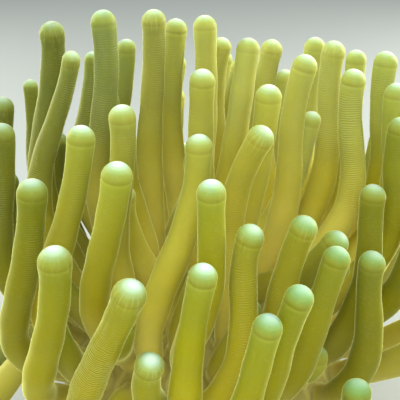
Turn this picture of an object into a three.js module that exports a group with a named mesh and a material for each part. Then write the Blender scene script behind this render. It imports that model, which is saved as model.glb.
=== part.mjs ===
// A giant Caribbean sea anemone, life size, as a still museum model.
// Millimetres, +Z up, the viewer's side is -Y. The origin is the middle of the foot on the floor.
import * as THREE from 'three';

// ---- driving sizes -------------------------------------------------------
const gap = 0.3;              // clear space between neighbouring pieces
const footRadius = 50;        // pedal disc on the floor
const footHeight = 7;
const waistRadius = 36;       // narrowest part of the column
const waistHeight = 24;
const columnTop = 46;         // where the column spreads into the crown
const discTop = 80;           // height of the flat middle of the oral disc
const discThickness = 5.5;    // wall of the disc that carries the tentacles
const flatReach = 24;         // arc distance at which the disc starts to turn down
const rimReach = 88;          // arc distance at which it has turned fully
const rimSlope = 75;          // degrees below level at the rim
const ringStep = 12.5;        // arc distance between two rings of tentacles
const mouthLength = 19;       // outer size of the lips
const mouthWidth = 11;
const lipWidth = 3.2;
const lipHeight = 3;          // of the lips above the disc

const capRadius = 5.2;        // rounded tip of a tentacle
const neckRadius = 4.75;      // just below the tip
const bellyRadius = 5.95;     // widest part
const bellyAt = 0.34;         // fraction of the length where the belly is widest
const bellySpread = 0.36;     // fraction of the length over which it fades
const rootRadius = 4.9;       // pinched foot of a tentacle
const pinchSpread = 0.07;     // fraction of the length over which the foot widens
const tipHeight = 4.6;        // the cap is widest this far below the end,
const brow = 1.3;             // and narrows to browShare of that this far below it
const browShare = 0.66;
const sides = 6;              // facets round a tentacle
const roundOff = 1.06;        // facets stand out so that the mean radius is right
const clearance = 13;         // least distance kept between two centre lines
const sway = 15;              // drift to the right with the current,
const swayHeight = 130;       // of a tip this far above the disc
const usualLean = 12;         // degrees to the right at the tip
const flare = 0.1;            // outward part of the heading at a tip
const rootHandle = 0.34;      // share of the chord over which a tentacle leaves the disc squarely
const tipHandle = 0.4;        // share of the chord over which it keeps the heading of its tip
const strayTurn = 0.05;       // chance differences: turn in radians,
const strayReach = 0.06;      // share of the reach,
const strayHeight = 7;        // height of the tip
const strayBow = 2;           // and size of the slight S
const bodyFacets = 24;        // facets round the column and foot
const lipFacets = 16;

// Rings from the mouth outwards. s: arc distance from the middle; first: angle of place 0;
// reach and tip: how far out and how high the tips of the ring stand.
const rings = [
  { name: 'inner', s: 26, count: 12, first: 0, reach: 27, tip: 207, bands: [0.2, 0.5, 0.8] },
  { name: 'second', s: 38.5, count: 12, first: 15, reach: 45, tip: 200, bands: [0.2, 0.5, 0.8] },
  { name: 'third', s: 51, count: 24, first: 7.5, reach: 66, tip: 182, bands: [0.18, 0.45, 0.78] },
  { name: 'fourth', s: 63.5, count: 24, first: 0, reach: 88, tip: 150, bands: [0.12, 0.3, 0.55, 0.8] },
  { name: 'outer', s: 76, count: 24, first: 7.5, reach: 104, tip: 112, bands: [0.12, 0.3, 0.55, 0.8] },
];

// Tips that have a place of their own in the pose: x, y, z, the lean to the right in degrees, and for
// some the girth of the tip (1 is usual) and how far the middle bows to the right in millimetres.
// Every other tentacle follows the fan of its ring.
const posed = {
  inner: {
    0: [43, -3, 200, 6, 1, 7], 1: [50, 10, 171, 8, 0.8, 4], 2: [21, 25, 199, 9], 3: [1, 29, 207, 4],
    4: [-2, 20, 150, 4], 5: [-20, 18, 213, 3, 1, -3], 6: [-32, -6, 168, 4], 7: [-33, -18, 148, 4],
    8: [-2, -24, 135, 6], 9: [0, -15, 197, 8], 10: [26, -22, 194, 8], 11: [42, -34, 120, 10],
  },
  second: {
    0: [56, 18, 199, 4, 1, 9], 1: [34, 50, 191, 4], 2: [11, 52, 192, 6, 0.9, 0],
    3: [-11, 42, 203, 4, 1, -2], 4: [-42, 24, 176, 4, 1, -4], 5: [-40, 5, 216, 2, 1, -6],
    6: [-38, -24, 122, 6], 7: [-30, -33, 190, 4, 1, -6], 8: [-1, -36, 118, 8], 9: [24, -39, 183, 18], 10: [54, -51, 142, 14],
    11: [63, 0, 193, 2, 1, 14],
  },
  third: {
    0: [80, 18, 195, 8, 1, 12], 1: [70, 34, 191, 4, 0.9, 4], 2: [55, 58, 190, 6], 3: [43, 70, 170, 6],
    4: [30, 74, 174, 6], 6: [13, 62, 182, 10], 8: [-34, 41, 194, 10, 0.85, -6],
    9: [-51, 45, 187, 14, 0.72, -7], 10: [-79, 40, 175, 4, 0.68, -8], 11: [-61, 6, 211, 0, 1, -10],
    12: [-50, -12, 204, 12, 0.7, -10], 13: [-62, -26, 118, 6], 14: [-29, -60, 179, 10, 1.08, 0],
    15: [-28, -62, 118, 8], 16: [-1, -40, 181, 8], 17: [4, -66, 175, 6, 1, 5], 18: [22, -50, 114, 8],
    19: [37, -59, 157, 12], 20: [44, -47, 115, 12], 21: [57, -36, 125, 12], 22: [78, -23, 179, 10, 1, 14],
    23: [82, 3, 186, 8, 1, 12],
  },
  fourth: {
    0: [94, 26, 190, 8, 1, 6], 2: [78, 46, 138, 8], 8: [-48, 70, 140, 8], 11: [-90, 27, 171, 6, 1, -6],
    13: [-78, -24, 179, 8, 1, -6], 14: [-43, -46, 187, 16], 15: [-60, -70, 115, 4],
    16: [-46, -104, 90, 6], 17: [-17, -95, 122, 6], 18: [18, -62, 154, 8, 1, 9], 19: [33, -86, 144, 10],
    20: [51, -60, 146, 14], 21: [41, -45, 90, 6], 22: [72, -27, 155, 12, 1, 3],
    23: [86, -32, 150, 10, 1, 6],
  },
  outer: {
    11: [-127, -12, 52, -50, 1.15], 12: [-125, -52, 46, -50, 1.25], 13: [-60, -57, 171, 14, 1.08, 0],
    14: [-48, -84, 161, 4, 1.12, 0], 15: [-22, -92, 150, 12, 1.15, 0], 16: [-30, -112, 70, 4],
    17: [1, -84, 152, 5], 18: [24, -92, 138, 10], 19: [38, -110, 86, 6], 20: [55, -93, 110, 8],
    21: [66, -53, 138, 12, 1, 4], 22: [122, -64, 134, 48, 1.4], 23: [128, -20, 96, 50],
  },
};

// ---- shape of the oral disc ----------------------------------------------
const radians = (degrees) => degrees * Math.PI / 180;

function slopeAt(s) {
  const u = Math.min(1, Math.max(0, (s - flatReach) / (rimReach - flatReach)));
  return radians(rimSlope) * u * u * (3 - 2 * u);
}

// Radius, height and slope of the disc at an arc distance from its middle.
function discAt(s) {
  const steps = Math.max(1, Math.ceil(s / 0.5));
  const h = s / steps;
  let r = 0;
  let z = discTop;
  for (let i = 0; i < steps; i++) {
    const slope = slopeAt((i + 0.5) * h);
    r += h * Math.cos(slope);
    z -= h * Math.sin(slope);
  }
  return { r, z, slope: slopeAt(s) };
}

// A point below the disc's surface by a depth, at an angle round the middle.
function discPoint(s, degrees, depth) {
  const { r, z, slope } = discAt(s);
  const reach = r - depth * Math.sin(slope);
  const a = radians(degrees);
  return new THREE.Vector3(reach * Math.cos(a), reach * Math.sin(a), z - depth * Math.cos(slope));
}

// ---- centre lines of the tentacles ---------------------------------------
const vary = (index, turn) => Math.sin(index * 7.13 + turn * 3.7);

function layTentacles() {
  const tentacles = [];
  for (const ring of rings) {
    const { r, z, slope } = discAt(ring.s);
    for (let place = 0; place < ring.count; place++) {
      const index = tentacles.length;
      const degrees = ring.first + 360 / ring.count * place;
      const a = radians(degrees);
      const out = new THREE.Vector3(Math.cos(a), Math.sin(a), 0);
      const root = out.clone().multiplyScalar(r).setZ(z);
      const normal = out.clone().multiplyScalar(Math.sin(slope)).setZ(Math.cos(slope));
      const own = posed[ring.name][place];
      const [girth = 1, bend = 0] = own ? own.slice(4) : [];
      let tip;
      if (own) {
        tip = new THREE.Vector3(own[0], own[1], own[2]);
      } else {
        const b = a + strayTurn * vary(index, 1);
        const reach = ring.reach * (1 + strayReach * vary(index, 2));
        const height = ring.tip + strayHeight * vary(index, 3);
        const drift = sway * (height - discTop) / swayHeight;
        tip = new THREE.Vector3(reach * Math.cos(b) + drift, reach * Math.sin(b), height);
      }
      const lean = Math.tan(radians(own ? own[3] : usualLean));
      const heading = new THREE.Vector3(lean + flare * out.x, flare * out.y, 1).normalize();
      const chord = tip.distanceTo(root);
      tentacles.push({
        ring, place, normal, out, girth, bend,
        firm: own ? 0.35 : 1,
        bow: new THREE.Vector3(strayBow * vary(index, 4), strayBow * vary(index, 5), 0),
        control: [
          root,
          root.clone().addScaledVector(normal, rootHandle * chord),
          tip.clone().addScaledVector(heading, -tipHandle * chord),
          tip,
        ],
      });
    }
  }
  return tentacles;
}

const weights = (t) => [(1 - t) ** 3, 3 * (1 - t) ** 2 * t, 3 * (1 - t) * t * t, t ** 3];

function pointOn(tentacle, t) {
  const point = tentacle.bow.clone().multiplyScalar(Math.sin(2 * Math.PI * t));
  point.x += tentacle.bend * Math.sin(Math.PI * t) ** 2;
  weights(t).forEach((w, k) => point.addScaledVector(tentacle.control[k], w));
  return point;
}

// Neighbours that come too close push each other aside, a little at a time. Only the part between
// low and high gives way, its control points by the shares in give and by longest at most.
function pushApart(tentacles, passes = 60, samples = 22) {
  const [low, high] = [0.06, 0.97];
  const give = [0.25, 0.55, 0.55];
  const longest = 1.5;
  const times = [];
  for (let k = 0; k < samples; k++) times.push(low + (high - low) * k / (samples - 1));
  const basis = times.map(weights);
  for (let pass = 0; pass < passes; pass++) {
    const lines = tentacles.map((tentacle) => times.map((t) => pointOn(tentacle, t)));
    const moves = lines.map((line) => line.map(() => ({ push: new THREE.Vector3(), hits: 0 })));
    const rooms = lines.map((line) => new THREE.Box3().setFromPoints(line).expandByScalar(clearance));
    for (let i = 0; i < tentacles.length; i++) {
      for (let j = i + 1; j < tentacles.length; j++) {
        const total = tentacles[i].firm + tentacles[j].firm;
        for (let p = 0; p < samples; p++) {
          const a = lines[i][p];
          if (!rooms[j].containsPoint(a)) continue;
          for (let q = 0; q < samples; q++) {
            const b = lines[j][q];
            const distance = a.distanceTo(b);
            if (distance >= clearance) continue;
            const away = a.clone().sub(b).multiplyScalar((clearance - distance) / distance / total);
            moves[i][p].push.addScaledVector(away, tentacles[i].firm);
            moves[i][p].hits += 1;
            moves[j][q].push.addScaledVector(away, -tentacles[j].firm);
            moves[j][q].hits += 1;
          }
        }
      }
    }
    tentacles.forEach((tentacle, i) => {
      give.forEach((gain, k) => {
        const step = new THREE.Vector3();
        moves[i].forEach((move, p) => {
          if (move.hits) step.addScaledVector(move.push, gain * basis[p][k + 1] / move.hits);
        });
        tentacle.control[k + 1].add(step.clampLength(0, longest));
      });
    });
  }
}

// ---- solids ---------------------------------------------------------------
class Mesh3 {
  constructor() {
    this.points = [];
    this.faces = [];
  }

  add(point) {
    this.points.push(point);
    return this.points.length - 1;
  }

  quad(a, b, c, d) {
    this.faces.push([a, b, c], [a, c, d]);
  }

  // Joins two closed loops of different counts; both run anticlockwise seen from outside.
  lace(outer, inner, angleOf) {
    const start = angleOf(this.points[outer[0]]);
    const turn = (i) => (angleOf(this.points[i]) - start + 4 * Math.PI + 1e-6) % (2 * Math.PI);
    const ordered = [...inner].sort((p, q) => turn(p) - turn(q));
    let i = 0;
    let j = 0;
    while (i < outer.length || j < ordered.length) {
      const a = outer[i % outer.length];
      const b = ordered[j % ordered.length];
      const nextOuter = i < outer.length ? (i + 1 === outer.length ? 2 * Math.PI : turn(outer[i + 1])) : 99;
      const nextInner = j < ordered.length ? (j + 1 === ordered.length
        ? 2 * Math.PI + turn(ordered[0]) : turn(ordered[j + 1])) : 99;
      if (nextOuter <= nextInner) {
        this.faces.push([a, outer[(i + 1) % outer.length], b]);
        i += 1;
      } else {
        this.faces.push([a, ordered[(j + 1) % ordered.length], b]);
        j += 1;
      }
    }
  }

  build(name, colour, roughness) {
    const geometry = new THREE.BufferGeometry();
    geometry.setAttribute('position', new THREE.Float32BufferAttribute(
      this.points.flatMap((p) => [p.x, p.y, p.z]), 3));
    geometry.setIndex(this.faces.flat());
    const material = new THREE.MeshStandardMaterial({ color: colour, roughness, metalness: 0 });
    const mesh = new THREE.Mesh(geometry.toNonIndexed(), material);
    mesh.geometry.computeVertexNormals();
    mesh.name = name;
    return mesh;
  }
}

// Radius of a tentacle at a fraction of its length, below the rounded tip.
function radiusAt(f, girth) {
  const neck = neckRadius * girth;
  const belly = (bellyRadius - neck) * Math.exp(-(((f - bellyAt) / bellySpread) ** 2));
  const pinch = (bellyRadius - rootRadius) * Math.exp(-((f / pinchSpread) ** 2));
  return neck + belly - pinch;
}

// Adds a closed-ended tube along a centre line and returns the indices of its first loop.
function growTentacle(solid, tentacle) {
  const steps = 80;
  const line = [];
  for (let k = 0; k <= steps; k++) line.push(pointOn(tentacle, k / steps));
  const along = [0];
  for (let k = 1; k <= steps; k++) along.push(along[k - 1] + line[k].distanceTo(line[k - 1]));
  const length = along[steps];
  const placeAt = (distance) => {
    let k = 1;
    while (k < steps && along[k] < distance) k += 1;
    const f = (distance - along[k - 1]) / (along[k] - along[k - 1]);
    return {
      point: line[k - 1].clone().lerp(line[k], f),
      heading: line[k].clone().sub(line[k - 1]).normalize(),
    };
  };
  const stations = [[gap, rootRadius]];
  for (const f of tentacle.ring.bands) stations.push([f * length, radiusAt(f, tentacle.girth)]);
  stations.push([length - tipHeight, capRadius * tentacle.girth]);
  stations.push([length - brow, capRadius * tentacle.girth * browShare]);

  let across = new THREE.Vector3(0, 0, 1).cross(tentacle.out).normalize();
  let previous = null;
  let first = null;
  for (const [distance, radius] of stations) {
    const { point, heading } = placeAt(distance);
    if (!previous) heading.copy(tentacle.normal);
    across.addScaledVector(heading, -across.dot(heading)).normalize();
    const beside = heading.clone().cross(across);
    const loop = [];
    for (let k = 0; k < sides; k++) {
      const a = 2 * Math.PI * k / sides;
      loop.push(solid.add(point.clone()
        .addScaledVector(across, radius * roundOff * Math.cos(a))
        .addScaledVector(beside, radius * roundOff * Math.sin(a))));
    }
    if (previous) {
      for (let k = 0; k < sides; k++) {
        const n = (k + 1) % sides;
        solid.quad(previous[k], previous[n], loop[n], loop[k]);
      }
    } else {
      first = loop;
    }
    previous = loop;
  }
  const apex = solid.add(line[steps]);
  for (let k = 0; k < sides; k++) solid.faces.push([previous[k], previous[(k + 1) % sides], apex]);
  return first;
}

// A short arc of the disc with the two tentacles that grow from it.
function tentaclePair(ring, pair, name) {
  const solid = new Mesh3();
  const spread = 360 / ring.count;
  const parts = spread > 20 ? 2 : 1;             // wide arcs are bent once in the middle
  const half = ringStep / 2 - (parts === 2 ? gap / 2 : 0.45);
  const { r } = discAt(ring.s);
  const margin = gap / 2 / r * 180 / Math.PI;
  const start = ring.first + spread * (pair[0].place - 0.5);
  const stops = [];
  for (let k = 0; k <= 2 * parts; k++) stops.push(start + spread * k / parts);
  stops[0] += margin;
  stops[2 * parts] -= margin;
  const corner = (s, depth) => stops.map((degrees) => solid.add(discPoint(s, degrees, depth)));
  const innerTop = corner(ring.s - half, 0);
  const outerTop = corner(ring.s + half, 0);
  const innerLow = corner(ring.s - half, discThickness);
  const outerLow = corner(ring.s + half, discThickness);
  const last = stops.length - 1;
  for (let k = 0; k < last; k++) {
    solid.quad(innerLow[k], innerLow[k + 1], outerLow[k + 1], outerLow[k]);
    solid.quad(innerTop[k], innerTop[k + 1], innerLow[k + 1], innerLow[k]);
    solid.quad(outerTop[k + 1], outerTop[k], outerLow[k], outerLow[k + 1]);
  }
  solid.quad(innerTop[0], innerLow[0], outerLow[0], outerTop[0]);
  solid.quad(outerTop[last], outerLow[last], innerLow[last], innerTop[last]);
  pair.forEach((tentacle, n) => {
    const from = n * parts;
    const loop = [];
    for (let k = from; k <= from + parts; k++) loop.push(outerTop[k]);
    for (let k = from + parts; k >= from; k--) loop.push(innerTop[k]);
    const root = growTentacle(solid, tentacle);
    const centre = tentacle.control[0];
    const across = new THREE.Vector3(0, 0, 1).cross(tentacle.out).normalize();
    const beside = tentacle.normal.clone().cross(across);
    const angleOf = (p) => {
      const d = p.clone().sub(centre);
      return Math.atan2(d.dot(beside), d.dot(across));
    };
    solid.lace(loop, root, angleOf);
  });
  return solid.build(name, 0xa8ac52, 0.45);
}

// A solid turned round the upright axis from a profile of [radius, height], bottom to top.
function turned(profile, name, colour) {
  const solid = new Mesh3();
  const count = bodyFacets;
  const loops = profile.map(([radius, height]) => {
    const loop = [];
    for (let k = 0; k < count; k++) {
      const a = 2 * Math.PI * k / count;
      loop.push(solid.add(new THREE.Vector3(radius * Math.cos(a), radius * Math.sin(a), height)));
    }
    return loop;
  });
  for (let m = 1; m < loops.length; m++) {
    for (let k = 0; k < count; k++) {
      const n = (k + 1) % count;
      solid.quad(loops[m - 1][k], loops[m - 1][n], loops[m][n], loops[m][k]);
    }
  }
  const low = solid.add(new THREE.Vector3(0, 0, profile[0][1]));
  const high = solid.add(new THREE.Vector3(0, 0, profile[profile.length - 1][1]));
  for (let k = 0; k < count; k++) {
    const n = (k + 1) % count;
    solid.faces.push([loops[0][n], loops[0][k], low]);
    solid.faces.push([loops[loops.length - 1][k], loops[loops.length - 1][n], high]);
  }
  return solid.build(name, colour, 0.6);
}

function oval(length, width, height) {
  const loop = [];
  for (let k = 0; k < lipFacets; k++) {
    const a = 2 * Math.PI * k / lipFacets;
    loop.push(new THREE.Vector3(length / 2 * Math.cos(a), width / 2 * Math.sin(a), height));
  }
  return loop;
}

// Closed band between an outer and an inner outline, given as pairs of loops from bottom to top.
function collar(outerLow, outerTop, innerTop, innerLow, name, colour) {
  const solid = new Mesh3();
  const angleOf = (p) => Math.atan2(p.y, p.x);
  const loops = [outerLow, outerTop, innerTop, innerLow];
  const [a, b, c, d] = loops.map((loop) => loop.map((p) => solid.add(p)));
  const wall = (from, to) => from.forEach((value, k) => {
    const n = (k + 1) % from.length;
    solid.quad(from[k], from[n], to[n], to[k]);
  });
  wall(a, b);
  wall(c, d);
  solid.lace(b, c, angleOf);
  const before = solid.faces.length;
  solid.lace(a, d, angleOf);
  for (let k = before; k < solid.faces.length; k++) solid.faces[k].reverse();
  return solid.build(name, colour, 0.5);
}

// ---- assembly --------------------------------------------------------------
const group = new THREE.Group();
group.name = 'sea_anemone';

const tentacles = layTentacles();
pushApart(tentacles);
for (const ring of rings) {
  const own = tentacles.filter((tentacle) => tentacle.ring === ring);
  for (let k = 0; k < own.length; k += 2) {
    const number = String(k / 2 + 1).padStart(2, '0');
    group.add(tentaclePair(ring, [own[k], own[k + 1]], `tentacles_${ring.name}_${number}`));
  }
}

// Flat middle of the oral disc, with the hole that the lips fill.
const discEdge = rings[0].s - ringStep / 2 - gap;
const rim = (depth) => {
  const loop = [];
  for (let k = 0; k < bodyFacets; k++) loop.push(discPoint(discEdge, 360 / bodyFacets * k, depth));
  return loop;
};
const lipHole = (height) => oval(mouthLength + 2 * gap, mouthWidth + 2 * gap, height);
group.add(collar(rim(discThickness), rim(0), lipHole(discTop), lipHole(discTop - discThickness),
  'oral_disc', 0xb0a860));
group.add(collar(
  oval(mouthLength, mouthWidth, discTop - discThickness),
  oval(mouthLength - 1, mouthWidth - 1, discTop + lipHeight),
  oval(mouthLength - 2 * lipWidth, mouthWidth - 2 * lipWidth, discTop + lipHeight),
  oval(mouthLength - 2 * lipWidth, mouthWidth - 2 * lipWidth, discTop - discThickness),
  'mouth_lips', 0xc8c08a));

// Body under the crown: its upper face runs just below the wall of the disc.
const underDepth = discThickness + 0.9;
const under = (s) => {
  const { r, z, slope } = discAt(s);
  return [r - underDepth * Math.sin(slope), z - underDepth * Math.cos(slope)];
};
const shoulder = waistRadius + 5;           // radius where the column spreads
const waistEnd = waistHeight + 11;          // top of the straight waist
const footTop = footHeight + 5;             // where the foot passes into the column
const body = 0xb7a873;
group.add(turned([
  [shoulder, columnTop + gap], [waistRadius + 16, columnTop + 3],
  under(80), under(70), under(57), under(44), under(32), [under(18)[0], discTop - underDepth],
], 'crown_underside', body));
group.add(turned([[waistRadius, waistEnd + gap], [shoulder, columnTop]], 'column_upper', body));
group.add(turned([
  [waistRadius + 3, footTop + gap], [waistRadius, waistHeight], [waistRadius, waistEnd],
], 'column_lower', body));
group.add(turned([
  [footRadius, 0], [footRadius, 2.5], [footRadius - 4, footHeight], [waistRadius + 3, footTop],
], 'pedal_disc', body));

export default group;
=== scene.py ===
# A giant Caribbean sea anemone, life size and still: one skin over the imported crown, column and foot.
import math

import bpy
import bmesh
import numpy as np
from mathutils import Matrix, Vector


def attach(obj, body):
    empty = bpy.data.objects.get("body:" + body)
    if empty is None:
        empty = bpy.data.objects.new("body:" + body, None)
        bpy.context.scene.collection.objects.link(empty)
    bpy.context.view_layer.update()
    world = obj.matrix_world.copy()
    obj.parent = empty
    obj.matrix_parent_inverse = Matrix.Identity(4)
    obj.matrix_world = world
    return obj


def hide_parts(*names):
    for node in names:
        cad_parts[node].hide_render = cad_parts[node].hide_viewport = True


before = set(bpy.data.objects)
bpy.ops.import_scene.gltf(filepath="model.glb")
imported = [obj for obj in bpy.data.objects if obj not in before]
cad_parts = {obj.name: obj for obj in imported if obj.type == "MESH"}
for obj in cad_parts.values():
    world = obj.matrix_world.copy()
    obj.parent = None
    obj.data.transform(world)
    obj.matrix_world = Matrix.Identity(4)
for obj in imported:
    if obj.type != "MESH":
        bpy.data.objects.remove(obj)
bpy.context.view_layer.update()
print("frame loaded:", len(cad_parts), "solids")

mm = 0.001

# Sizes in millimetres, as in the solids.
crown = {
    "discTop": 80,        # height of the flat middle
    "flatReach": 24,      # arc distance where the disc starts to turn down
    "rimReach": 88,
    "rimSlope": 75,       # degrees below level at the rim
    "ringStep": 12.5,     # arc distance between two rings of tentacles
    "innerPoints": 8,     # mesh points along the inner edge of a tentacle's patch of disc,
    "sidePoints": 4,      # and along each of its sides
    "sway": 15,           # drift of the tips to the right
    "usualLean": 12,      # degrees to the right at a tip
    "clearance": 13,      # least distance between two centre lines
    "swayHeight": 130,    # height above the disc at which a tip has drifted by sway
    "flare": 0.1,         # outward part of the heading at a tip
    "rootHandle": 0.34,   # share of the chord over which a tentacle leaves the disc squarely
    "tipHandle": 0.4,     # share of the chord over which it keeps the heading of its tip
    "strayTurn": 0.05,    # chance differences: turn in radians,
    "strayReach": 0.06,   # share of the reach,
    "strayHeight": 7,     # height of the tip
    "strayBow": 2,        # and size of the slight S
    "firmness": 0.35,     # how readily a placed tentacle gives way, where the others have 1
}

# From the mouth outwards. s: arc distance from the middle, first: angle of place 0, reach and tip:
# how far out and how high the usual tip stands, outer: mesh points along the outer edge of one
# tentacle's patch of disc, foot: share of the length that is pale.
ringKeys = ("name", "s", "count", "first", "reach", "tip", "outer", "foot")
rings = [dict(zip(ringKeys, row)) for row in (
    ("inner", 26, 12, 0, 27, 207, 8, 0.7),
    ("second", 38.5, 12, 15, 45, 200, 16, 0.6),
    ("third", 51, 24, 7.5, 66, 182, 8, 0.5),
    ("fourth", 63.5, 24, 0, 88, 150, 8, 0.35),
    ("outer", 76, 24, 7.5, 104, 112, 8, 0.3),
)]

# Tips with a place of their own in the pose: x, y, z and the lean to the right in degrees, and for
# some the girth of the tip (1 is usual) and how far the middle bows to the right in millimetres.
posed = {
    "inner": {
        0: (43, -3, 200, 6, 1, 7), 1: (50, 10, 171, 8, 0.8, 4), 2: (21, 25, 199, 9), 3: (1, 29, 207, 4),
        4: (-2, 20, 150, 4), 5: (-20, 18, 213, 3, 1, -3), 6: (-32, -6, 168, 4), 7: (-33, -18, 148, 4),
        8: (-2, -24, 135, 6), 9: (0, -15, 197, 8), 10: (26, -22, 194, 8), 11: (42, -34, 120, 10),
    },
    "second": {
        0: (56, 18, 199, 4, 1, 9), 1: (34, 50, 191, 4), 2: (11, 52, 192, 6, 0.9, 0),
        3: (-11, 42, 203, 4, 1, -2), 4: (-42, 24, 176, 4, 1, -4), 5: (-40, 5, 216, 2, 1, -6),
        6: (-38, -24, 122, 6), 7: (-30, -33, 190, 4, 1, -6),
        8: (-1, -36, 118, 8), 9: (24, -39, 183, 18), 10: (54, -51, 142, 14), 11: (63, 0, 193, 2, 1, 14),
    },
    "third": {
        0: (80, 18, 195, 8, 1, 12), 1: (70, 34, 191, 4, 0.9, 4), 2: (55, 58, 190, 6), 3: (43, 70, 170, 6),
        4: (30, 74, 174, 6), 6: (13, 62, 182, 10), 8: (-34, 41, 194, 10, 0.85, -6),
        9: (-51, 45, 187, 14, 0.72, -7), 10: (-79, 40, 175, 4, 0.68, -8), 11: (-61, 6, 211, 0, 1, -10),
        12: (-50, -12, 204, 12, 0.7, -10), 13: (-62, -26, 118, 6), 14: (-29, -60, 179, 10, 1.08, 0),
        15: (-28, -62, 118, 8), 16: (-1, -40, 181, 8), 17: (4, -66, 175, 6, 1, 5), 18: (22, -50, 114, 8),
        19: (37, -59, 157, 12), 20: (44, -47, 115, 12), 21: (57, -36, 125, 12),
        22: (78, -23, 179, 10, 1, 14), 23: (82, 3, 186, 8, 1, 12),
    },
    "fourth": {
        0: (94, 26, 190, 8, 1, 6), 2: (78, 46, 138, 8), 8: (-48, 70, 140, 8), 11: (-90, 27, 171, 6, 1, -6),
        13: (-78, -24, 179, 8, 1, -6), 14: (-43, -46, 187, 16), 15: (-60, -70, 115, 4),
        16: (-46, -104, 90, 6), 17: (-17, -95, 122, 6), 18: (18, -62, 154, 8, 1, 9), 19: (33, -86, 144, 10),
        20: (51, -60, 146, 14), 21: (41, -45, 90, 6), 22: (72, -27, 155, 12, 1, 3),
        23: (86, -32, 150, 10, 1, 6),
    },
    "outer": {
        11: (-127, -12, 52, -50, 1.15), 12: (-125, -52, 46, -50, 1.25), 13: (-60, -57, 171, 14, 1.08, 0),
        14: (-48, -84, 161, 4, 1.12, 0), 15: (-22, -92, 150, 12, 1.15, 0), 16: (-30, -112, 70, 4),
        17: (1, -84, 152, 5), 18: (24, -92, 138, 10), 19: (38, -110, 86, 6), 20: (55, -93, 110, 8),
        21: (66, -53, 138, 12, 1, 4), 22: (122, -64, 134, 48, 1.4), 23: (128, -20, 96, 50),
    },
}


def smoothStep(x, low, high):
    u = np.clip((x - low) / (high - low), 0, 1)
    return u * u * (3 - 2 * u)


def discProfile(s):
    # radius, height and slope of the oral disc at arc distances from its middle
    s = np.atleast_1d(np.asarray(s, float))
    step = 0.05
    middles = (np.arange(int(120 / step)) + 0.5) * step
    slopes = math.radians(crown["rimSlope"]) * smoothStep(middles, crown["flatReach"], crown["rimReach"])
    at = np.arange(len(middles) + 1) * step
    r = np.interp(s, at, np.concatenate([[0], np.cumsum(np.cos(slopes) * step)]))
    z = crown["discTop"] - np.interp(s, at, np.concatenate([[0], np.cumsum(np.sin(slopes) * step)]))
    slope = math.radians(crown["rimSlope"]) * smoothStep(s, crown["flatReach"], crown["rimReach"])
    return r, z, slope


def vary(index, turn):
    return math.sin(index * 7.13 + turn * 3.7)


def bernstein(t):
    t = np.asarray(t, float)
    return np.stack([(1 - t) ** 3, 3 * (1 - t) ** 2 * t, 3 * (1 - t) * t * t, t ** 3], -1)


def sag(t, tentacle):
    # how far the centre line lies from its plain curve: a slight S, and a bow to the right
    t = np.asarray(t, float)[:, None]
    return tentacle["bow"] * np.sin(2 * np.pi * t) + tentacle["bend"] * np.sin(np.pi * t) ** 2


def layTentacles():
    tentacles = []
    for ring in rings:
        r, z, slope = (float(v[0]) for v in discProfile(ring["s"]))
        for place in range(ring["count"]):
            index = len(tentacles)
            a = math.radians(ring["first"] + 360 / ring["count"] * place)
            out = np.array([math.cos(a), math.sin(a), 0])
            root = out * r + [0, 0, z]
            normal = out * math.sin(slope) + [0, 0, math.cos(slope)]
            own = posed[ring["name"]].get(place)
            slim, bend = (own + (1, 0))[4:6] if own else (1, 0)
            if own:
                tip = np.array(own[:3], float)
            else:
                b = a + crown["strayTurn"] * vary(index, 1)
                reach = ring["reach"] * (1 + crown["strayReach"] * vary(index, 2))
                height = ring["tip"] + crown["strayHeight"] * vary(index, 3)
                drift = crown["sway"] * (height - crown["discTop"]) / crown["swayHeight"]
                tip = np.array([reach * math.cos(b) + drift, reach * math.sin(b), height])
            lean = math.tan(math.radians(own[3] if own else crown["usualLean"]))
            heading = np.array([lean + crown["flare"] * out[0], crown["flare"] * out[1], 1])
            heading /= np.linalg.norm(heading)
            chord = np.linalg.norm(tip - root)
            low = root + normal * crown["rootHandle"] * chord
            high = tip - heading * crown["tipHandle"] * chord
            bow = [crown["strayBow"] * vary(index, 4), crown["strayBow"] * vary(index, 5), 0]
            tentacles.append({
                "ring": ring, "place": place, "index": index, "out": out, "normal": normal,
                "firm": crown["firmness"] if own else 1, "slim": slim, "bow": np.array(bow),
                "bend": np.array([bend, 0, 0]), "control": np.array([root, low, high, tip]),
            })
    return tentacles


def pushApart(tentacles, passes=60, samples=22):
    # neighbours that come too close push each other aside, a little at a time
    control = np.stack([t["control"] for t in tentacles])
    firm = np.array([t["firm"] for t in tentacles], float)
    times = 0.06 + 0.91 * np.arange(samples) / (samples - 1)
    basis = bernstein(times)
    sags = np.stack([sag(times, t) for t in tentacles])
    owner = np.repeat(np.arange(len(tentacles)), samples)
    clearance = crown["clearance"]
    for _ in range(passes):
        points = (np.einsum("kc,ncd->nkd", basis, control) + sags).reshape(-1, 3)
        square = (points ** 2).sum(1)
        apart = square[:, None] + square[None] - 2 * points @ points.T
        one, other = np.nonzero((apart < clearance ** 2) & (owner[:, None] != owner[None]))
        away = points[one] - points[other]
        distance = np.sqrt((away ** 2).sum(1))
        share = firm[owner[one]] / (firm[owner[one]] + firm[owner[other]])
        push = away * ((clearance - distance) / distance * share)[:, None]
        moves = np.zeros_like(points)
        hits = np.zeros(len(points))
        np.add.at(moves, one, push)
        np.add.at(hits, one, 1)
        moves = (moves / np.maximum(hits, 1)[:, None]).reshape(len(tentacles), samples, 3)
        for k, gain in ((1, 0.25), (2, 0.55), (3, 0.55)):
            step = np.einsum("k,nkd->nd", basis[:, k], moves) * gain
            length = np.linalg.norm(step, axis=1, keepdims=True)
            control[:, k] += step * np.minimum(1, 1.5 / np.maximum(length, 1e-12))
    for tentacle, points in zip(tentacles, control):
        tentacle["control"] = points


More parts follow.
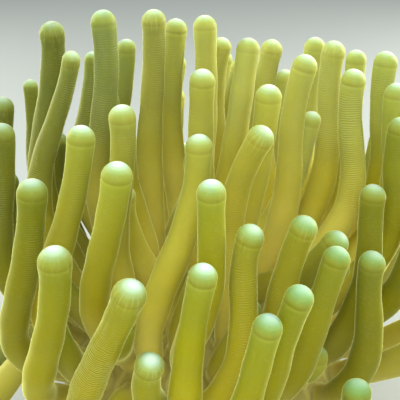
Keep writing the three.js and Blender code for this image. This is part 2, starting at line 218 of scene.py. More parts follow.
class Skin:
    # gathers the points, faces, bake coordinates and surface measures of one joined mesh
    def __init__(self):
        self.points = []
        self.measures = []
        self.faces = []
        self.uvs = []
        self.shared = {}
        self.count = 0

    def addPoints(self, points, measures):
        first = self.count
        self.points.append(points)
        self.measures.append(measures)
        self.count += len(points)
        return np.arange(first, first + len(points))

    def sharedPoint(self, key, point, measure):
        if key not in self.shared:
            self.shared[key] = int(self.addPoints(np.array([point]), measure)[0])
        return self.shared[key]

    def bridge(self, low, high, uLow, vLow, vHigh, width):
        # quads between two closed loops of the same count
        n = len(low)
        k = np.arange(n)
        nxt = (k + 1) % n
        self.faces += np.stack([low[k], low[nxt], high[nxt], high[k]], 1).tolist()
        u = uLow + width * np.arange(n + 1) / n
        for i in range(n):
            self.uvs += [(u[i], vLow), (u[i + 1], vLow), (u[i + 1], vHigh), (u[i], vHigh)]

    def close(self, loop, centre, uLow, vLow, vHigh, width):
        n = len(loop)
        u = uLow + width * np.arange(n + 1) / n
        for i in range(n):
            self.faces.append([int(loop[i]), int(loop[(i + 1) % n]), int(centre)])
            self.uvs += [(u[i], vLow), (u[i + 1], vLow), ((u[i] + u[i + 1]) / 2, vHigh)]


# Measures kept on each point, for the material: distance from the tip in millimetres, how pale the
# flesh is (its pale foot, partly painted light, and a painted glow in the middle of the crown), how much the
# point is disc, column and lips, six that belong to the whole tentacle (a chance tone, how cool, how much
# painted shade darkens it, how ringed, how much its cap is greener and darkened by painted shade, and how
# much painted haze pales it), and the direction round the axis.
measureNames = [
    "fromTip", "pale", "discPart", "columnPart", "lipPart", "tone", "cool", "paintedShade", "ringed", "mintAndShade",
    "paintedHaze", "aroundX", "aroundY",
]
bodyTip = 160.0    # fromTip value of the body

# Where the parts lie on the flat bake layout: the sole and column in the lowest strip, the mouth
# above it, and over both one narrow upright strip to a tentacle.
layout = {
    "column": (0.003, 0.175),                  # start and height of the column's strip
    "sole": 0.18,
    "mouth": (0.19, 0.06),
    "throat": 0.252,
    "tentacle": (0.262, 0.285, 0.995),         # edge of the disc, root and tip
    "strips": 96,
    "stripWidth": 0.84,                        # share of a strip that is used,
    "stripStart": 0.08,                        # and where that begins
    "across": (0.005, 0.99),                   # start and width of the mouth's and column's strips
}
# Points of the disc are shared by their arc distance in hundredths and their angle in these steps.
angleSteps = 192


def measured(theta, fromTip=bodyTip, pale=1.0, disc=0.0, column=0.0, lips=0.0, own=(0, 0, 0, 0, 0, 0)):
    theta = np.atleast_1d(theta)
    rows = np.empty((len(theta), len(measureNames)))
    for k, value in enumerate((fromTip, pale, disc, column, lips, *own, np.cos(theta), np.sin(theta))):
        rows[:, k] = value
    return rows


# tentacles whose pale foot reaches further up than is usual in their ring, partly as painted light in the
# shaded depths of the crown; painted shade hardly darkens them
paleFeet = {
    ("inner", 0): 0.95, ("inner", 5): 0.9, ("inner", 6): 0.9, ("inner", 7): 0.9, ("inner", 10): 0.95,
    ("second", 3): 0.95, ("second", 5): 0.9, ("second", 9): 0.9, ("second", 11): 0.9, ("third", 13): 0.8,
    ("third", 15): 0.9, ("third", 20): 0.7, ("third", 21): 0.7, ("fourth", 15): 0.9, ("fourth", 21): 0.6,
    ("outer", 11): 0.9, ("outer", 12): 0.95, ("outer", 22): 0.95, ("outer", 23): 0.9,
}

# tentacles drawn together a little, so that their rings show more than the usual fifth
ringed = {
    ("inner", 5): 0.5, ("inner", 9): 0.4, ("second", 0): 0.5, ("second", 5): 0.9, ("second", 7): 0.4,
    ("second", 11): 0.9, ("third", 0): 0.7, ("third", 8): 0.6, ("third", 9): 0.8, ("third", 10): 0.7,
    ("third", 11): 1.0, ("third", 12): 1.0, ("third", 14): 0.3, ("fourth", 0): 0.6, ("fourth", 11): 0.8,
    ("fourth", 13): 0.8, ("fourth", 14): 0.35, ("fourth", 18): 0.6, ("outer", 13): 0.6, ("outer", 15): 1.0,
}


tentacleShape = {
    "capRadius": 5.2,
    "neckRadius": 4.75,
    "bellyRadius": 6.3,    # as far out as the corners of the solids
    "bellyAt": 0.34,       # fraction of the length where the belly is widest
    "bellySpread": 0.36,   # fraction of the length over which it fades
    "rootRadius": 4.9,
    "pinchSpread": 0.07,   # fraction of the length over which the root widens
    "capSteps": 10,        # loops over the rounded tip
    "creaseStep": 0.4,     # loop spacing round the creases below the cap
    "shaftStep": 1.2,      # loop spacing down the shaft
    "fineReach": 12,       # distance from the tip that has the finer loops
    "samples": 241,        # points along the centre line
    "fillet": (3.0, 1.0),  # height and width of the rounded corner between disc and root
    "crease": 0.11,        # depth of the crease
    "swell": 0.05,         # uneven swelling of the shaft, as a share of its radius
    "wrinkle": 0.07,       # level wrinkles of the shaft, most on the ringed ones
    "folds": 0.32,         # soft rings round the root
}


def girth(fromTip, along, length, tentacle):
    # radius of a tentacle at distances from its tip and from its root
    shape, index, slim = tentacleShape, tentacle["index"], tentacle["slim"]
    f = along / length
    cap, neck = shape["capRadius"] * slim, shape["neckRadius"] * slim
    belly = (shape["bellyRadius"] - neck) * np.exp(-(((f - shape["bellyAt"]) / shape["bellySpread"]) ** 2))
    pinch = (shape["bellyRadius"] - shape["rootRadius"]) * np.exp(-((f / shape["pinchSpread"]) ** 2))
    body = neck + belly - pinch
    slow = np.sin(along / 9.5 + 2 * vary(index, 6)) * np.sin(along / 5.3 + 3 * vary(index, 7))
    body *= 1 + shape["swell"] * slow * smoothStep(fromTip, 8, 25)
    level = np.sin(along * 2.1 + 5 * vary(index, 18)) * np.sin(along / 2.7 + 3 * vary(index, 19))
    body += shape["wrinkle"] * (0.4 + tentacle["ringed"]) * level * smoothStep(fromTip, 8, 18)
    body -= shape["folds"] * np.exp(-along / 9) * (0.5 + 0.5 * np.sin(along * 1.55 + 6 * vary(index, 8)))
    dome = np.sqrt(np.maximum(0, cap ** 2 - np.maximum(0, cap - fromTip) ** 2))
    blend = smoothStep(fromTip, cap + 0.6, cap + 8 + 3 * vary(index, 12))
    radius = dome * (1 - blend) + body * blend
    # the crease under the cap, and two fainter ones below it
    rim = cap + 0.9 + 0.7 * vary(index, 10)
    depth = shape["crease"] * (1 + 0.9 * vary(index, 9))
    for k, share in enumerate((1, 0.45, 0.3)):
        at = rim + k * (2.1 + 0.5 * vary(index, 13 + k))
        radius -= share * depth * np.exp(-(((fromTip - at) / 0.42) ** 2))
    return radius


# Where each tint, painted shade, painted haze and painted glow stands in the crown: the range in millimetres
# over which it comes in, as a tip stands further in the direction named. For centralSides it is minus the
# distance from centralX.
tintRanges = {
    "coolLeft": (-20, 60),
    "coolBack": (-65, 5),
    "coolTall": (165, 195),
    "coolFarLeft": (50, 75),
    "paintedHazeRight": (-25, 25),
    "paintedHazeBack": (-30, 20),
    "paintedShadeRight": (20, 72),
    "paintedShadeFront": (5, 30),
    "paintedShadeFarLeft": (36, 68),
    "paintedShadeNearRight": (0, 50),
    "paintedShadeNearFront": (60, 95),
    "mintAndShadeRight": (-15, 45),
    "mintAndShadeFront": (10, 80),
    "centralSides": (-75, -35),
    "centralBack": (-75, -35),
}
# the painted glow that pales the middle of the crown
centralX = 12    # the pale middle of the crown stands a little to the right


def within(name, place):
    return smoothStep(place, *tintRanges[name])


def growTentacle(skin, tentacle):
    ring, index, shape = tentacle["ring"], tentacle["index"], tentacleShape
    tipX, tipY, tipZ = tentacle["control"][3]
    # tall cool ones stand at the back left, painted haze pales the ones at the back right, painted shade
    # darkens the ones at the front right and far left, the caps at the front right are greener and darkened
    # by painted shade, and a painted glow pales the ones in the middle of the crown
    cool = within("coolLeft", -tipX) * within("coolBack", tipY)
    cool *= max(within("coolTall", tipZ), within("coolFarLeft", -tipX))
    paintedHaze = within("paintedHazeRight", tipX) * within("paintedHazeBack", tipY)
    paintedShade = within("paintedShadeRight", tipX) * within("paintedShadeFront", -tipY) + within("paintedShadeFarLeft", -tipX)
    paintedShade = min(1, paintedShade + 0.3 * within("paintedShadeNearRight", tipX) * within("paintedShadeNearFront", -tipY))
    mintAndShade = within("mintAndShadeRight", tipX) * within("mintAndShadeFront", -tipY)
    tentacle["ringed"] = ringed.get((ring["name"], tentacle["place"]), 0.2 + 0.1 * vary(index, 16))
    centralGlow = within("centralSides", -abs(tipX - centralX)) * within("centralBack", tipY)
    reach = paleFeet.get((ring["name"], tentacle["place"]))
    if reach:
        paintedShade *= 0.45
    else:
        reach = ring["foot"] + 0.1 * vary(index, 15)
    own = np.array([vary(index, 11), cool, paintedShade, tentacle["ringed"], mintAndShade, paintedHaze])
    half = crown["ringStep"] / 2
    spread = 360 / ring["count"]
    centreAngle = ring["first"] + spread * tentacle["place"]
    r0 = float(discProfile(ring["s"])[0][0])

    # edge of this tentacle's patch of disc: arc distance and angle of each point
    inner, side = crown["innerPoints"], crown["sidePoints"]
    edge = []
    for k in range(ring["outer"]):
        edge.append((half, -spread / 2 + spread * k / ring["outer"]))
    for k in range(side):
        edge.append((half - 2 * half * k / side, spread / 2))
    for k in range(inner):
        edge.append((-half, spread / 2 - spread * k / inner))
    for k in range(side):
        edge.append((-half + 2 * half * k / side, -spread / 2))
    edge = np.array(edge)
    n = len(edge)
    r, z, _ = discProfile(ring["s"] + edge[:, 0])
    angles = np.radians(centreAngle + edge[:, 1])
    places = np.stack([r * np.cos(angles), r * np.sin(angles), z], 1)
    low = []
    for k in range(n):
        step = int(round((centreAngle + edge[k, 1]) * angleSteps / 360)) % angleSteps
        key = (int(round((ring["s"] + edge[k, 0]) * 100)), step)
        low.append(skin.sharedPoint(key, places[k], measured(angles[k], disc=1)))
    low = np.array(low)

    # centre line, measured along
    t = np.linspace(0, 1, shape["samples"])
    line = bernstein(t) @ tentacle["control"] + sag(t, tentacle)
    along = np.concatenate([[0], np.cumsum(np.linalg.norm(np.diff(line, axis=0), axis=1))])
    length = along[-1]

    # frames carried along the line without twist
    across = np.cross([0, 0, 1], tentacle["out"])
    frames = np.empty((len(line), 2, 3))
    headings = np.gradient(line, axis=0)
    headings[0] = tentacle["normal"]
    headings /= np.linalg.norm(headings, axis=1, keepdims=True)
    for k in range(len(line)):
        across = across - headings[k] * (across @ headings[k])
        across /= np.linalg.norm(across)
        frames[k] = across, np.cross(headings[k], across)

    def loopAt(distance, radius, theta):
        place = np.array([np.interp(distance, along, line[:, c]) for c in range(3)])
        a, b = ([np.interp(distance, along, frames[:, m, c]) for c in range(3)] for m in range(2))
        return place + radius * (np.cos(theta)[:, None] * a + np.sin(theta)[:, None] * b)

    # even angles round the tube, turned to match the patch edge with least twist
    flat = np.stack([np.radians(edge[:, 1]) * r0, edge[:, 0]], 1)
    turn = np.unwrap(np.arctan2(-flat[:, 1], flat[:, 0]))
    sense = np.sign(turn[-1] - turn[0])
    even = sense * 2 * np.pi * np.arange(n) / n
    theta = even + (turn - even).mean()
    ringShape = np.stack([np.cos(theta), -np.sin(theta)], 1)

    width = layout["stripWidth"] / layout["strips"]
    uLow = (index + layout["stripStart"]) / layout["strips"]
    loops = [low]
    steps = [0.0]
    filletHeight, filletOut = shape["fillet"]
    # level rings from the patch edge to the foot of the fillet, then the fillet itself
    stations = [(w, 0.0) for w in (0.3, 0.65)] + [(1.0, phi) for phi in np.radians([0, 30, 55, 75])]
    for w, phi in stations:
        radius = shape["rootRadius"] + filletOut * (1 - math.sin(phi))
        height = filletHeight * (1 - math.cos(phi))
        spot = flat * (1 - w) + ringShape * radius * w
        r, z, slope = discProfile(ring["s"] + spot[:, 1])
        a = np.radians(centreAngle) + spot[:, 0] / r0
        onDisc = np.stack([r * np.cos(a), r * np.sin(a), z], 1) + tentacle["normal"] * height
        onTube = loopAt(height, radius, theta)
        mix = math.sin(phi) ** 2
        points = onDisc * (1 - mix) + onTube * mix
        fromTip = bodyTip * (1 - mix) + (length - height) * mix
        loops.append(skin.addPoints(points, measured(theta, fromTip, 1, 1 - 0.4 * mix, own=own * mix)))
        steps.append(steps[-1] + 1)

    capAngles = np.linspace(0, np.pi / 2, shape["capSteps"] + 1)[1:]
    fromTips = list(shape["capRadius"] * tentacle["slim"] * (1 - np.cos(capAngles)))
    while fromTips[-1] < shape["fineReach"]:
        fromTips.append(fromTips[-1] + shape["creaseStep"])
    rest = length - filletHeight - fromTips[-1]
    shaftLoops = max(4, int(round(rest / shape["shaftStep"])))
    fromTips += list(fromTips[-1] + rest * (np.arange(shaftLoops) + 1) / shaftLoops)
    fromTips = np.array(fromTips)[::-1]
    radii = girth(fromTips, length - fromTips, length, tentacle)
    rootward = smoothStep(length - fromTips, 3, 8)
    radii = shape["rootRadius"] * (1 - rootward) + radii * rootward
    vBottom, vRoot, vTop = layout["tentacle"]
    vs = [vBottom + (vRoot - vBottom) * s / steps[-1] for s in steps]
    for fromTip, radius in zip(fromTips, radii):
        along0 = length - fromTip
        disc = 0.6 * (1 - smoothStep(along0, 3, 14))
        # the pale foot, partly painted light, and in the middle of the crown a painted glow over the shaded
        # depths
        pale = max(1 - smoothStep(along0 / length, 0.1 * reach, reach), 0.38 * centralGlow)
        points = loopAt(along0, radius, theta)
        loops.append(skin.addPoints(points, measured(theta, fromTip, pale, disc, own=own)))
        vs.append(vRoot + (vTop - 0.004 - vRoot) * along0 / length)
    for k in range(1, len(loops)):
        skin.bridge(loops[k - 1], loops[k], uLow, vs[k - 1], vs[k], width)
    tip = skin.addPoints(line[-1:], measured(0, 0, 0, own=own))
    skin.close(loops[-1], tip[0], uLow, vs[-1], vTop, width)


def smoothProfile(points, perSpan):
    # smooth curve through control points, each point a row of numbers
    points = np.array(points, float)
    padded = np.concatenate([[2 * points[0] - points[1]], points, [2 * points[-1] - points[-2]]])
    rows = []
    for k in range(1, len(padded) - 2):
        a, b, c, d = padded[k - 1:k + 3]
        for t in np.arange(perSpan) / perSpan:
            rows.append(0.5 * (2 * b + (c - a) * t + (2 * a - 5 * b + 4 * c - d) * t * t
                               + (3 * b - a - 3 * c + d) * t ** 3))
    rows.append(points[-1])
    return np.array(rows)


def joinLoops(skin, loops, centre, strip, vEnd):
    # faces between successive loops, and a fan from the last one to its centre
    start, height = strip
    uLow, width = layout["across"]
    total = len(loops)
    for k in range(1, total):
        vLow, vHigh = start + height * (k - 1) / total, start + height * k / total
        skin.bridge(loops[k - 1], loops[k], uLow, vLow, vHigh, width)
    skin.close(loops[-1], centre, uLow, start + height * (total - 1) / total, vEnd, width)


mouth = {
    "folds": 18,          # puckers round the lips
    "foldDepth": 0.35,
    # half length, half width and height of successive ovals, from the disc to the throat
    "ovals": [(19.75, 19.75, 80), (16, 14.6, 80), (13.2, 10.8, 80.2), (11, 7.8, 80.5), (9.7, 5.9, 81.2),
              (9.3, 5.3, 82.3), (8.5, 4.5, 82.95), (7.5, 3.5, 82.8), (6.6, 2.6, 81.8), (6.2, 2.1, 80),
              (5.9, 1.8, 77.5), (5.2, 1.4, 75.6)],
    "throatFloor": 75.2,
}


def growMouth(skin):
    n = 96
    edge = int(round((rings[0]["s"] - crown["ringStep"] / 2) * 100))
    low = np.array([skin.shared[(edge, angleSteps // n * k)] for k in range(n)])
    theta = 2 * np.pi * np.arange(n) / n
    profile = smoothProfile(mouth["ovals"], 4)
    lipness = smoothStep(profile[:, 2], 80.4, 82)
    total = len(profile)
    loops = [low]
    inside = False
    for k in range(1, total):
        a, b, z = profile[k]
        inside = inside or (z < profile[k - 1][2] and z < 82)
        lip = float(lipness[k])
        grooves = mouth["foldDepth"] * lip * np.cos(mouth["folds"] * theta + 0.6 * np.sin(3 * theta))
        lines = 0.12 * (1 - lip) * np.cos(48 * theta) * smoothStep(19.75 - a, 0, 3)
        if inside:
            lip = max(lip, 0.6)
        points = np.stack([(a + grooves) * np.cos(theta), (b + grooves) * np.sin(theta),
                           np.full(n, z) + lines + 0.3 * grooves], 1)
        loops.append(skin.addPoints(points, measured(theta, disc=1, lips=lip)))
    floor = skin.addPoints(np.array([[0, 0, mouth["throatFloor"]]]), measured(0, disc=1, lips=1))
    joinLoops(skin, loops, floor[0], layout["mouth"], layout["throat"])


column = {
    "ribs": 48,           # faint upright lines, one over each inner wall
    "ribDepth": 0.16,
    "foldDepth": 0.7,     # uneven level folds, as in a body drawn down a little
    "foldPitch": 5.2,
    "footWaves": 14,      # gentle scallops round the foot
    "footWaveDepth": 0.7,
    # radius and height down the outside, from below the rim of the disc to the floor
    "outline": [(67.6, 46.2), (64.2, 46.6), (58, 48.0), (51.5, 47.8), (45, 45.5), (40.2, 41), (37, 35),
                (35.7, 28), (35.9, 21), (37.6, 14.5), (41.4, 10), (45.6, 6.8), (48.6, 4), (49.9, 1.6),
                (49.6, 0.3), (48.6, 0.0)],
}


def growColumn(skin):
    n = angleSteps
    edge = rings[-1]["s"] + crown["ringStep"] / 2
    low = np.array([skin.shared[(int(round(edge * 100)), k)] for k in range(n)])
    theta = 2 * np.pi * np.arange(n) / n
    r0, z0, slope0 = (float(v[0]) for v in discProfile(edge))
    start = [(r0, z0), (r0 + 0.7 * math.cos(slope0), z0 - 2.6)]
    profile = smoothProfile(start + column["outline"], 5)
    loops = [low]
    for r, z in profile[1:]:
        upright = smoothStep(z0 - z, 2, 12) * smoothStep(z, 1, 8)
        ribs = column["ribDepth"] * (np.cos(column["ribs"] * theta) - 1) * upright
        wander = 1.6 * np.sin(2 * theta + 0.7) + 0.9 * np.sin(5 * theta) + 0.5 * np.sin(11 * theta + 2)
        level = np.sin(2 * np.pi * z / column["foldPitch"] + wander)
        folds = column["foldDepth"] * (level - 1) / 2 * upright
        waves = column["footWaveDepth"] * (np.sin(column["footWaves"] * theta + 1.3 * np.sin(3 * theta)) - 1)
        radius = r + ribs + folds + waves * 0.5 * smoothStep(12 - z, 0, 8)
        points = np.stack([radius * np.cos(theta), radius * np.sin(theta), np.full(n, max(0.0, z))], 1)
        part = float(smoothStep(z0 - z, 0, 6))
        loops.append(skin.addPoints(points, measured(theta, disc=1 - part, column=part)))
    for r in (40, 26, 12):    # flat sole
        points = np.stack([r * np.cos(theta), r * np.sin(theta), np.zeros(n)], 1)
        loops.append(skin.addPoints(points, measured(theta, column=1)))
    sole = skin.addPoints(np.zeros((1, 3)), measured(0, column=1))
    joinLoops(skin, loops, sole[0], layout["column"], layout["sole"])


tentacles = layTentacles()
pushApart(tentacles)
print("tentacles laid out:", len(tentacles))

skin = Skin()
for tentacle in tentacles:
    growTentacle(skin, tentacle)
growMouth(skin)
growColumn(skin)

mesh = bpy.data.meshes.new("anemoneSkin")
mesh.from_pydata((np.concatenate(skin.points) * mm).tolist(), [], skin.faces)
uvLayer = mesh.uv_layers.new(name="OFBake")
uvLayer.data.foreach_set("uv", np.array(skin.uvs, np.float32).ravel())
measures = np.concatenate(skin.measures)
for k, name in enumerate(measureNames):
    mesh.attributes.new(name, "FLOAT", "POINT").data.foreach_set("value", measures[:, k].astype(np.float32))
work = bmesh.new()
work.from_mesh(mesh)
bmesh.ops.recalc_face_normals(work, faces=work.faces)
work.to_mesh(mesh)
work.free()
mesh.shade_smooth()
anemone = bpy.data.objects.new("anemone_skin", mesh)
bpy.context.scene.collection.objects.link(anemone)
print("skin grown:", len(mesh.vertices), "points,", len(mesh.polygons), "faces")


def linear(hexColour):
    # sRGB hex to linear red, green, blue, alpha
    parts = [int(hexColour[k:k + 2], 16) / 255 for k in (1, 3, 5)]
    return [c / 12.92 if c <= 0.04045 else ((c + 0.055) / 1.055) ** 2.4 for c in parts] + [1.0]


def addNode(tree, kind, inputs=None, out=0, ramp=None, **settings):
    # one shader node with its settings, values and links; gives back the output named by out
    made = tree.nodes.new("ShaderNode" + kind)
    for name, value in settings.items():
        setattr(made, name, value)
    if ramp:
        stops = made.color_ramp.elements
        while len(stops) < len(ramp):
            stops.new(0.5)
        for stop, (position, colour) in zip(stops, ramp):
            stop.position = position
            stop.color = linear(colour)
    for key, value in (inputs or {}).items():
        if isinstance(value, bpy.types.NodeSocket):
            tree.links.new(value, made.inputs[key])
        else:
            made.inputs[key].default_value = value
    return made.outputs[out] if made.outputs else made


fleshLook = {
    # colour by distance from the tip: the cap and neck over 14 mm, the shaft over 130 mm
    # the cap's pale top is partly its own colour and partly painted light from above; the dark stop at 0.41
    # is painted shade in the crease under the cap, and the pale stop at 0.46 a painted highlight on the
    # ridge below it
    "cap": [(0.0, "#d2eaf0"), (0.04, "#b4d4c6"), (0.10, "#9cb688"), (0.19, "#8f9f50"), (0.32, "#91983c"),
            (0.41, "#8a8f2c"), (0.46, "#9ea640"), (0.54, "#969e2e"), (1.0, "#949820")],
    "capLength": 14,
    # the shaft grows paler towards the root, partly its own colour and partly painted light in the shaded
    # depths
    "shaft": [(0.1, "#949820"), (0.25, "#9a9814"), (0.5, "#aca412"), (0.8, "#beb42c"), (1.0, "#c8be54")],
    "shaftLength": 130,
    "cool": "#566f50",
    "golden": "#9a8a0c",
    # painted shade over the tentacles at the front right and far left
    "paintedShade": "#66680c",
    # painted haze: a pale veil of scattered light over the tentacles at the back right
    "hazeTint": "#a9b478",
    # greener, darker caps at the front right: partly their own green, partly painted shade
    "mintAndShade": "#68985c",
    # pale foot colour, partly the flesh's own and partly painted light in the shaded depths; also the lines
    # on the disc
    "foot": "#d2c872",
    "disc": "#a39a55",
    "column": "#b08a66",
    "columnPale": "#c3a382",
    "columnLine": "#9a7550",
    "lips": "#dccfa0",
    # painted shade in the ring grooves
    "grooveShade": "#5c6420",
    # pale tint for the streaks and specks, and the painted highlight on the ring crests
    "bright": "#eef2c6",
    "patch": 14,             # millimetres across a cloudy patch
    "speck": 1.4,
    "ringPitch": 1.0,        # real rings are about 0.6 mm apart; drawn coarser so that they show
    "walls": 48,             # lines down the disc and column, one over each inner wall
    "roughness": 0.45,
    "gloss": 0.15,           # flesh in water hardly mirrors
    "subsurface": 1.0,
    "depth": 0.010,          # metres that light soaks in
    "sheen": 0.85,
    "sheenSpread": 0.24,
    "sheenTint": "#f8ffae",
}


def moistFlesh():
    # Living translucent flesh under water: soft gloss, light soaks in and glows at thin edges.
    look = fleshLook
    smooth = {"interpolation_type": "SMOOTHSTEP"}
    material = bpy.data.materials.new("moistTranslucentFlesh")
    material.use_nodes = True
    tree = material.node_tree
    tree.nodes.clear()
    measure = {name: addNode(tree, "Attribute", out="Fac", attribute_name=name) for name in measureNames}
    fromTip, tone = measure["fromTip"], measure["tone"]
    place = addNode(tree, "NewGeometry", out="Position")

    # patterns: cloudy patches and specks in plain space, the others in space wrapped round a tentacle
    cloud = addNode(tree, "TexNoise", {"Vector": place, "Scale": 1 / (look["patch"] * mm), "Detail": 2})
    grain = addNode(tree, "TexNoise", {"Vector": place, "Scale": 1 / (look["speck"] * mm), "Detail": 3})
    wrapped = {}
    for name, stretch, apart in (("streak", 0.02, 7), ("ring", 0.12, 9), ("slow", 0.03, 5)):
        offset = addNode(tree, "Math", {0: tone, 1: apart}, operation="MULTIPLY")
        level = addNode(tree, "Math", {0: fromTip, 1: stretch, 2: offset}, operation="MULTIPLY_ADD")
        around = {0: measure["aroundX"], 1: measure["aroundY"], 2: level}
        wrapped[name] = addNode(tree, "CombineXYZ", around)
    streak = addNode(tree, "TexNoise", {"Vector": wrapped["streak"], "Scale": 6, "Detail": 2})
    waver = addNode(tree, "TexNoise", {"Vector": wrapped["ring"], "Scale": 1.6, "Detail": 2})
    slowLook = {"Vector": wrapped["slow"], "Scale": 0.8, "Detail": 3, "Roughness": 0.6}
    slow = addNode(tree, "TexNoise", slowLook)

    # fine rings round the shaft: they waver, come and go, and fade towards the neck and the root
    wave = addNode(tree, "Math", {0: fromTip, 1: look["ringPitch"]}, operation="DIVIDE")
    wave = addNode(tree, "Math", {0: waver, 1: 1.6, 2: wave}, operation="MULTIPLY_ADD")
    wave = addNode(tree, "Math", {0: wave, 1: 2 * math.pi}, operation="MULTIPLY")
    wave = addNode(tree, "Math", {0: wave}, operation="SINE")
    shown = measure["ringed"]
    for source, start, end, least in ((slow, 0.4, 0.6, 0.15), (fromTip, 6, 13, 0), (fromTip, 90, 40, 0.1)):
        part = addNode(tree, "MapRange", {0: source, 1: start, 2: end, 3: least}, **smooth)
        shown = addNode(tree, "Math", {0: shown, 1: part}, operation="MULTIPLY")
    # the crests take a painted highlight and the grooves painted shade, beside their bump
    crests = addNode(tree, "MapRange", {0: wave, 1: 0}, **smooth)
    crests = addNode(tree, "Math", {0: crests, 1: shown}, operation="MULTIPLY")
    grooves = addNode(tree, "MapRange", {0: wave, 1: -0.2, 2: -1}, **smooth)
    grooves = addNode(tree, "Math", {0: grooves, 1: shown}, operation="MULTIPLY")

    # masks from 0 to 1
    belowCap = addNode(tree, "MapRange", {0: fromTip, 1: 1, 2: 9, 3: 0.45}, **smooth)
    cool = addNode(tree, "MapRange", {0: fromTip, 1: 88, 2: 38, 3: 0.25}, **smooth)
    cool = addNode(tree, "Math", {0: cool, 1: measure["cool"]}, operation="MULTIPLY")
    cool = addNode(tree, "Math", {0: cool, 1: belowCap}, operation="MULTIPLY")
    # painted shade, weaker on the cap
    paintedShade = addNode(tree, "Math", {0: measure["paintedShade"], 1: belowCap}, operation="MULTIPLY")
    # caps at the front right, greener and darkened by painted shade
    onCap = addNode(tree, "MapRange", {0: fromTip, 1: 5, 2: 1.2}, **smooth)
    mintAndShadeOnCap = addNode(tree, "Math", {0: measure["mintAndShade"], 1: onCap}, operation="MULTIPLY")
    # painted haze over the upper parts of the tentacles at the back right
    paintedHaze = addNode(tree, "MapRange", {0: fromTip, 1: 65, 2: 25}, **smooth)
    paintedHaze = addNode(tree, "Math", {0: paintedHaze, 1: measure["paintedHaze"]}, operation="MULTIPLY")
    paintedHaze = addNode(tree, "Math", {0: paintedHaze, 1: belowCap}, operation="MULTIPLY")
    pale = addNode(tree, "Math", {0: measure["pale"], 1: belowCap}, operation="MULTIPLY")
    golden = addNode(tree, "MapRange", {0: tone, 1: 0, 2: 1}, **smooth)
    golden = addNode(tree, "Math", {0: golden, 1: belowCap}, operation="MULTIPLY")
    clouded = addNode(tree, "MapRange", {0: cloud, 1: 0.4, 2: 0.75}, **smooth)
    streaked = addNode(tree, "MapRange", {0: streak, 1: 0.5, 2: 0.64}, **smooth)
    for source, start, end in ((fromTip, 14, 4), (fromTip, 0.4, 3), (tone, -0.2, 0.8)):
        part = addNode(tree, "MapRange", {0: source, 1: start, 2: end}, **smooth)
        streaked = addNode(tree, "Math", {0: streaked, 1: part}, operation="MULTIPLY")
    specks = addNode(tree, "MapRange", {0: grain, 1: 0.52, 2: 0.75}, **smooth)

    # disc and column: fine lines from the mouth to the foot
    axes = addNode(tree, "SeparateXYZ", {0: place}).node
    turn = addNode(tree, "Math", {0: axes.outputs["Y"], 1: axes.outputs["X"]}, operation="ARCTAN2")
    wander = addNode(tree, "TexNoise", {"Vector": place, "Scale": 60, "Detail": 1})
    wander = addNode(tree, "Math", {0: wander, 1: 3}, operation="MULTIPLY")
    walls = addNode(tree, "Math", {0: turn, 1: look["walls"], 2: wander}, operation="MULTIPLY_ADD")
    walls = addNode(tree, "Math", {0: walls}, operation="SINE")
    discLines = addNode(tree, "MapRange", {0: walls, 1: 0.2, 4: 0.35}, **smooth)
    columnLines = addNode(tree, "MapRange", {0: walls, 1: 0.2, 4: 0.3}, **smooth)
    discColour = addNode(tree, "Mix", {0: discLines, 6: linear(look["disc"]), 7: linear(look["foot"])}, 2,
                         data_type="RGBA")
    columnColours = {0: columnLines, 6: linear(look["column"]), 7: linear(look["columnLine"])}
    columnColour = addNode(tree, "Mix", columnColours, 2, data_type="RGBA")
    columnColour = addNode(tree, "Mix", {0: clouded, 6: columnColour, 7: linear(look["columnPale"])}, 2,
                           data_type="RGBA")
    # the column turns olive towards the crown
    olive = addNode(tree, "MapRange", {0: axes.outputs["Z"], 1: 0.022, 2: 0.05}, **smooth)
    columnColour = addNode(tree, "Mix", {0: olive, 6: columnColour, 7: discColour}, 2, data_type="RGBA")

    # the colours, laid one over another: where, how strongly, and what
    capAt = addNode(tree, "Math", {0: fromTip, 1: look["capLength"]}, operation="DIVIDE")
    shaftAt = addNode(tree, "Math", {0: fromTip, 1: look["shaftLength"]}, operation="DIVIDE")
    colour = addNode(tree, "ValToRGB", {0: capAt}, ramp=look["cap"])
    shaftColour = addNode(tree, "ValToRGB", {0: shaftAt}, ramp=look["shaft"])
    onShaft = addNode(tree, "MapRange", {0: fromTip, 1: 10, 2: 14}, **smooth)
    layers = [
        (onShaft, 1, shaftColour), (pale, 0.75, look["foot"]), (golden, 0.3, look["golden"]),
        (paintedHaze, 0.4, look["hazeTint"]), (cool, 0.7, look["cool"]), (paintedShade, 0.7, look["paintedShade"]),
        (mintAndShadeOnCap, 0.55, look["mintAndShade"]), (clouded, 0.08, look["cool"]),
        # painted shade in the ring grooves and a painted highlight on the ring crests
        (grooves, 0.27, look["grooveShade"]), (crests, 0.17, look["bright"]),
        (streaked, 0.07, look["bright"]), (measure["discPart"], 1, discColour),
        (measure["columnPart"], 1, columnColour), (measure["lipPart"], 1, look["lips"]),
        (specks, 0.03, look["bright"]),
    ]
    for where, strength, tint in layers:
        amount = addNode(tree, "Math", {0: where, 1: strength}, operation="MULTIPLY")
        over = linear(tint) if isinstance(tint, str) else tint
        colour = addNode(tree, "Mix", {0: amount, 6: colour, 7: over}, 2, data_type="RGBA")

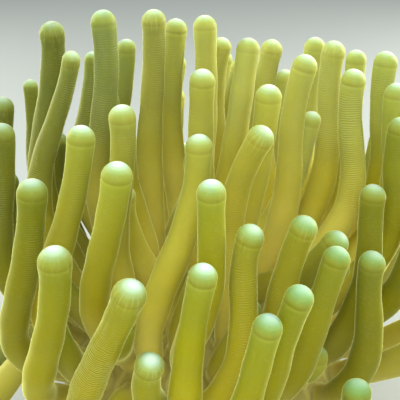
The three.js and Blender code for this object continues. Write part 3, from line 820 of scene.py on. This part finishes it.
    height = addNode(tree, "Math", {0: grain, 1: 0.3, 2: crests}, operation="MULTIPLY_ADD")
    height = addNode(tree, "Math", {0: streak, 1: 0.3, 2: height}, operation="MULTIPLY_ADD")
    bump = addNode(tree, "Bump", {"Height": height, "Strength": 0.6, "Distance": 0.18 * mm})
    shader = addNode(tree, "BsdfPrincipled", {
        "Base Color": colour, "Roughness": look["roughness"], "IOR": 1.38, "Normal": bump,
        "Specular IOR Level": look["gloss"], "Subsurface Weight": look["subsurface"],
        "Subsurface Radius": (1.0, 0.85, 0.2), "Subsurface Scale": look["depth"],
        "Sheen Weight": look["sheen"], "Sheen Roughness": look["sheenSpread"],
        "Sheen Tint": linear(look["sheenTint"]),
    })
    addNode(tree, "OutputMaterial", {"Surface": shader})
    return material


mesh.materials.append(moistFlesh())
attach(anemone, "root")
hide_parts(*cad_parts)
print("material made")

studio = {
    "floor": "#a9aeae",
    "camera": {"aim": (-0.0006, 0, 0.1328), "distance": 0.337, "elevation": 27.8, "lens": 68.2},
    # place, aim, size, watts and colour; the fill casts no shadow, as light scattered in water casts none
    "lights": {
        "top": ((-0.10, -0.2, 1.0), (0, 0, 0.15), 0.5, 5, "#f6fff6"),
        "front": ((-0.05, -1.15, 0.74), (0, 0, 0.12), 0.8, 4.5, "#fffdf0"),
        "fill": ((0, -1.05, 0.66), (0, 0, 0.12), 0.6, 5.9, "#fff9d8"),
        "rimLeft": ((-0.8, 0.45, 0.35), (0, 0, 0.15), 0.5, 7.5, "#fffdf0"),
        "rimRight": ((0.8, 0.45, 0.35), (0, 0, 0.15), 0.5, 12, "#fffdf0"),
    },
    "sky": ("#dfe6e8", 0.55),
}


def aimAt(thing, place, target):
    thing.location = place
    thing.rotation_euler = (Vector(target) - Vector(place)).to_track_quat("-Z", "Y").to_euler()


def buildStudio():
    floorMesh = bpy.data.meshes.new("studioFloor")
    floorMesh.from_pydata([(-4, -4, 0), (4, -4, 0), (4, 4, 0), (-4, 4, 0)], [], [(0, 1, 2, 3)])
    floor = bpy.data.objects.new("studioFloor", floorMesh)
    bpy.context.scene.collection.objects.link(floor)
    paint = bpy.data.materials.new("mattePaperFloor")
    paint.use_nodes = True
    surface = paint.node_tree.nodes["Principled BSDF"]
    surface.inputs["Base Color"].default_value = linear(studio["floor"])
    surface.inputs["Roughness"].default_value = 0.9
    floorMesh.materials.append(paint)
    floor.location.z = -0.0002
    for name, (place, target, size, watts, colour) in studio["lights"].items():
        lamp = bpy.data.lights.new(name, "AREA")
        lamp.shape = "DISK"
        lamp.size = size
        lamp.energy = watts
        lamp.color = linear(colour)[:3]
        lamp.use_shadow = name != "fill"
        holder = bpy.data.objects.new(name, lamp)
        bpy.context.scene.collection.objects.link(holder)
        aimAt(holder, place, target)
    world = bpy.data.worlds.new("softRoom")
    world.use_nodes = True
    background = world.node_tree.nodes["Background"]
    background.inputs["Color"].default_value = linear(studio["sky"][0])
    background.inputs["Strength"].default_value = studio["sky"][1]
    bpy.context.scene.world = world
    view = studio["camera"]
    eye = bpy.data.cameras.new("camera")
    eye.lens = view["lens"]
    eye.sensor_width = 36
    eye.clip_start = 0.01
    holder = bpy.data.objects.new("camera", eye)
    bpy.context.scene.collection.objects.link(holder)
    tilt = math.radians(view["elevation"])
    aim = Vector(view["aim"])
    aimAt(holder, aim + view["distance"] * Vector((0, -math.cos(tilt), math.sin(tilt))), aim)
    bpy.context.scene.camera = holder
    bpy.context.scene.view_settings.view_transform = "Standard"


buildStudio()
print("studio built")
